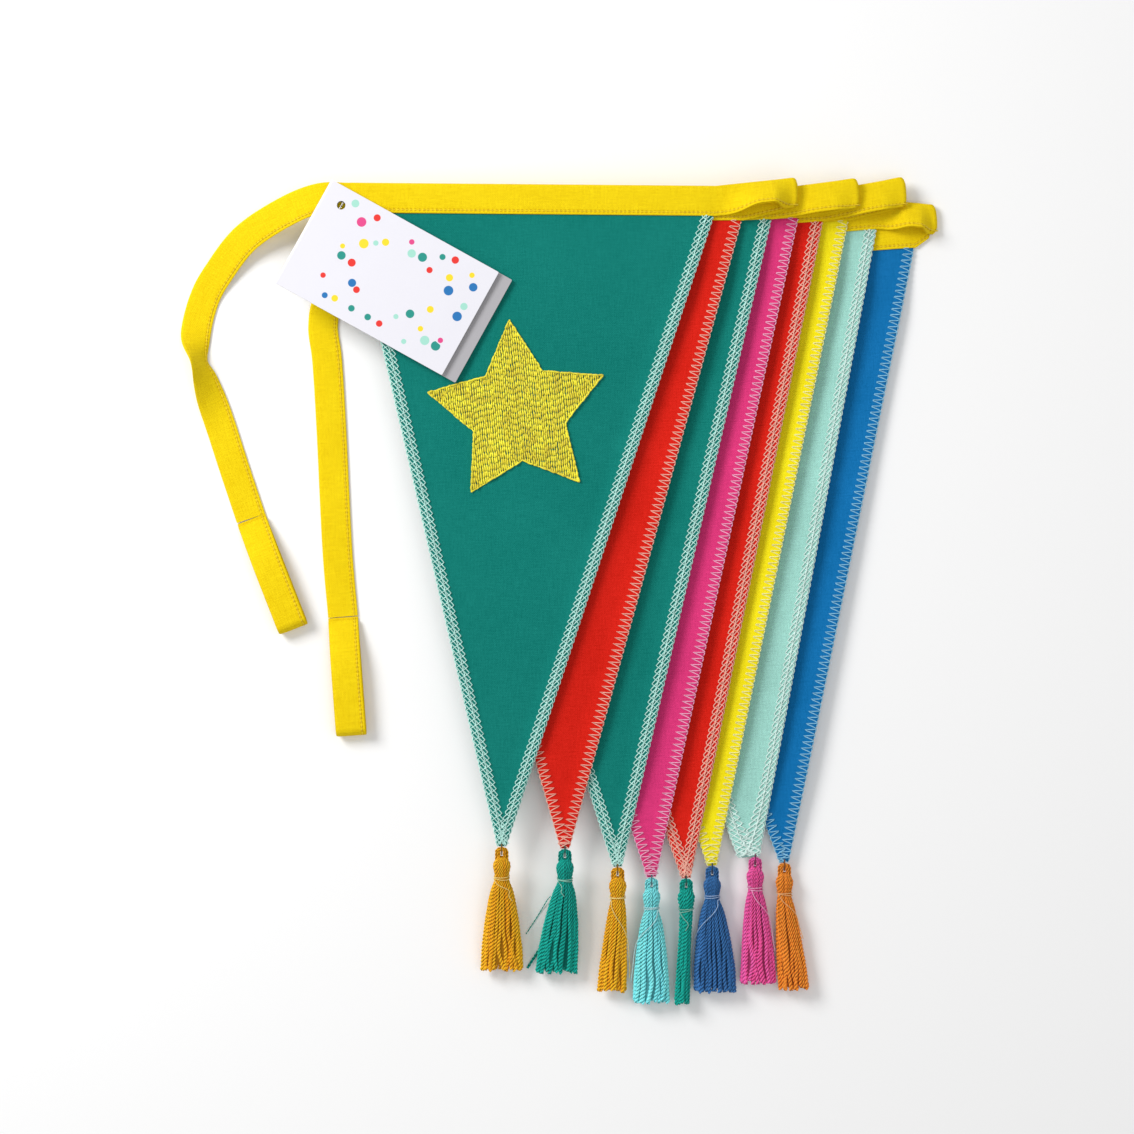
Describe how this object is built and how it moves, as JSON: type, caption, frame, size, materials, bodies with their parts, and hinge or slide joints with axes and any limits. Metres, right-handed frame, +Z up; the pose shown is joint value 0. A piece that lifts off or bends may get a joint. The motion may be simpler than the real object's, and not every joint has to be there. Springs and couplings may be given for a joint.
{
  "type": "fabric tassel garland",
  "caption": "Triangular cotton pennants with yarn tassels on yellow tape, accordion-folded into a flat fan, with tie ends, hanging loops and a folded card tag.",
  "frame": {"origin": "middle of the floor of the folded garland's box, on the surface that it lies on", "axes": "+X to the right along the tape, +Y from the tassels to the tape, +Z up out of the surface that it lies on"},
  "size_m": [0.3042, 0.3308, 0.0191],
  "materials": {
    "yellow_tape": "plain-woven cotton double-fold tape",
    "embroidery": "satin-stitched embroidery thread",
    "pale_thread": "sewing thread",
    "white_card": "smooth printed card, about 0.4 mm",
    "clear_nylon": "clear nylon",
    "cloth_1": "teal plain-woven cotton",
    "cloth_2": "red plain-woven cotton",
    "cloth_3": "teal plain-woven cotton",
    "cloth_4": "pink plain-woven cotton",
    "cloth_5": "red plain-woven cotton",
    "cloth_6": "yellow plain-woven cotton",
    "cloth_7": "mint plain-woven cotton",
    "cloth_8": "blue plain-woven cotton",
    "yarn_1": "gold two-ply yarn",
    "yarn_2": "teal two-ply yarn",
    "yarn_3": "gold two-ply yarn",
    "yarn_4": "aqua two-ply yarn",
    "yarn_5": "teal two-ply yarn",
    "yarn_6": "blue two-ply yarn",
    "yarn_7": "pink two-ply yarn",
    "yarn_8": "orange two-ply yarn"
  },
  "bodies": {
    "leg_8": {"binding_tape_8": "yellow_tape", "pennant_8": "cloth_8", "tip_loop_8": "pale_thread", "spacing_tape_7_8": "yellow_tape", "tie_2": "yellow_tape", "hanging_loop_2": "yellow_tape"},
    "leg_7": {"binding_tape_7": "yellow_tape", "pennant_7": "cloth_7", "tip_loop_7": "pale_thread", "spacing_tape_6_7": "yellow_tape"},
    "leg_6": {"binding_tape_6": "yellow_tape", "pennant_6": "cloth_6", "tip_loop_6": "pale_thread", "spacing_tape_5_6": "yellow_tape"},
    "leg_5": {"binding_tape_5": "yellow_tape", "pennant_5": "cloth_5", "tip_loop_5": "pale_thread", "spacing_tape_4_5": "yellow_tape"},
    "leg_4": {"binding_tape_4": "yellow_tape", "pennant_4": "cloth_4", "tip_loop_4": "pale_thread", "spacing_tape_3_4": "yellow_tape"},
    "leg_3": {"binding_tape_3": "yellow_tape", "pennant_3": "cloth_3", "tip_loop_3": "pale_thread", "spacing_tape_2_3": "yellow_tape"},
    "leg_2": {"binding_tape_2": "yellow_tape", "pennant_2": "cloth_2", "tip_loop_2": "pale_thread", "spacing_tape_1_2": "yellow_tape"},
    "leg_1": {"binding_tape_1": "yellow_tape", "pennant_1": "cloth_1", "tip_loop_1": "pale_thread", "tie_1": "yellow_tape", "hanging_loop_1": "yellow_tape", "embroidered_star": "embroidery", "tag_pin": "clear_nylon"},
    "tassel_1_swing": {"tassel_1": "yarn_1", "neck_binding_1": "pale_thread"},
    "tassel_2_swing": {"tassel_2": "yarn_2", "neck_binding_2": "pale_thread"},
    "tassel_3_swing": {"tassel_3": "yarn_3", "neck_binding_3": "pale_thread"},
    "tassel_4_swing": {"tassel_4": "yarn_4", "neck_binding_4": "pale_thread"},
    "tassel_5_swing": {"tassel_5": "yarn_5", "neck_binding_5": "pale_thread"},
    "tassel_6_swing": {"tassel_6": "yarn_6", "neck_binding_6": "pale_thread"},
    "tassel_7_swing": {"tassel_7": "yarn_7", "neck_binding_7": "pale_thread"},
    "tassel_8_swing": {"tassel_8": "yarn_8", "neck_binding_8": "pale_thread"},
    "tag_back": {"tag_back_leaf": "white_card"},
    "tag_front": {"tag_front_leaf": "white_card"}
  },
  "joints": [
    {"name": "fold_7_8", "type": "hinge", "parent": "leg_8", "child": "leg_7", "pos_m": [0.15117, 0.14897, 0.00195], "axis": [-0.0793, 0.9968, -0.0104], "range_deg": [0, 180], "deforming": ["spacing_tape_7_8"]},
    {"name": "fold_6_7", "type": "hinge", "parent": "leg_7", "child": "leg_6", "pos_m": [-0.05002, 0.14011, 0.00411], "axis": [0.0776, -0.997, 0.0069], "range_deg": [0, 180], "deforming": ["spacing_tape_6_7"]},
    {"name": "fold_5_6", "type": "hinge", "parent": "leg_6", "child": "leg_5", "pos_m": [0.13839, 0.15936, 0.00611], "axis": [-0.0698, 0.9976, -0.0033], "range_deg": [0, 180], "deforming": ["spacing_tape_5_6"]},
    {"name": "fold_4_5", "type": "hinge", "parent": "leg_5", "child": "leg_4", "pos_m": [-0.07127, 0.14366, 0.00824], "axis": [0.0645, -0.9979, -0.0002], "range_deg": [0, 180], "deforming": ["spacing_tape_4_5"]},
    {"name": "fold_3_4", "type": "hinge", "parent": "leg_4", "child": "leg_3", "pos_m": [0.11914, 0.15834, 0.01037], "axis": [-0.0506, 0.9987, 0.0037], "range_deg": [0, 180], "deforming": ["spacing_tape_3_4"]},
    {"name": "fold_2_3", "type": "hinge", "parent": "leg_3", "child": "leg_2", "pos_m": [-0.09324, 0.15125, 0.01245], "axis": [0.0236, -0.9997, -0.0073], "range_deg": [0, 180], "deforming": ["spacing_tape_2_3"]},
    {"name": "fold_1_2", "type": "hinge", "parent": "leg_2", "child": "leg_1", "pos_m": [0.0943, 0.15809, 0.01463], "axis": [0.0026, 0.9999, 0.0109], "range_deg": [0, 180], "deforming": ["spacing_tape_1_2"]},
    {"name": "tassel_1_hinge", "type": "hinge", "parent": "leg_1", "child": "tassel_1_swing", "pos_m": [-0.02293, -0.1031, 0.0124], "axis": [1, 0, 0], "range_deg": [-90, 90]},
    {"name": "tassel_2_hinge", "type": "hinge", "parent": "leg_2", "child": "tassel_2_swing", "pos_m": [0.00227, -0.10408, 0.01119], "axis": [1, 0, 0], "range_deg": [-90, 90]},
    {"name": "tassel_3_hinge", "type": "hinge", "parent": "leg_3", "child": "tassel_3_swing", "pos_m": [0.02335, -0.11139, 0.00995], "axis": [1, 0, 0], "range_deg": [-90, 90]},
    {"name": "tassel_4_hinge", "type": "hinge", "parent": "leg_4", "child": "tassel_4_swing", "pos_m": [0.03694, -0.11578, 0.00877], "axis": [1, 0, 0], "range_deg": [-90, 90]},
    {"name": "tassel_5_hinge", "type": "hinge", "parent": "leg_5", "child": "tassel_5_swing", "pos_m": [0.05081, -0.11621, 0.00761], "axis": [1, 0, 0], "range_deg": [-90, 90]},
    {"name": "tassel_6_hinge", "type": "hinge", "parent": "leg_6", "child": "tassel_6_swing", "pos_m": [0.06126, -0.11135, 0.00643], "axis": [1, 0, 0], "range_deg": [-90, 90]},
    {"name": "tassel_7_hinge", "type": "hinge", "parent": "leg_7", "child": "tassel_7_swing", "pos_m": [0.07854, -0.10788, 0.00523], "axis": [1, 0, 0], "range_deg": [-90, 90]},
    {"name": "tassel_8_hinge", "type": "hinge", "parent": "leg_8", "child": "tassel_8_swing", "pos_m": [0.09032, -0.11029, 0.00407], "axis": [1, 0, 0], "range_deg": [-90, 90]},
    {"name": "tag_turn", "type": "hinge", "parent": "leg_1", "child": "tag_back", "pos_m": [-0.08644, 0.15274, 0.01714], "axis": [0, 0, 1], "range_deg": [-150, 150]},
    {"name": "tag_cover", "type": "hinge", "parent": "tag_back", "child": "tag_front", "pos_m": [-0.09318, 0.15647, 0.018], "axis": [-0.4848, -0.8746, 0], "range_deg": [0, 150]}
  ],
  "couplings": [
    {"joint": "fold_6_7", "follows": "fold_7_8", "ratio": 1},
    {"joint": "fold_5_6", "follows": "fold_7_8", "ratio": 1},
    {"joint": "fold_4_5", "follows": "fold_7_8", "ratio": 1},
    {"joint": "fold_3_4", "follows": "fold_7_8", "ratio": 1},
    {"joint": "fold_2_3", "follows": "fold_7_8", "ratio": 1},
    {"joint": "fold_1_2", "follows": "fold_7_8", "ratio": 1}
  ]
}
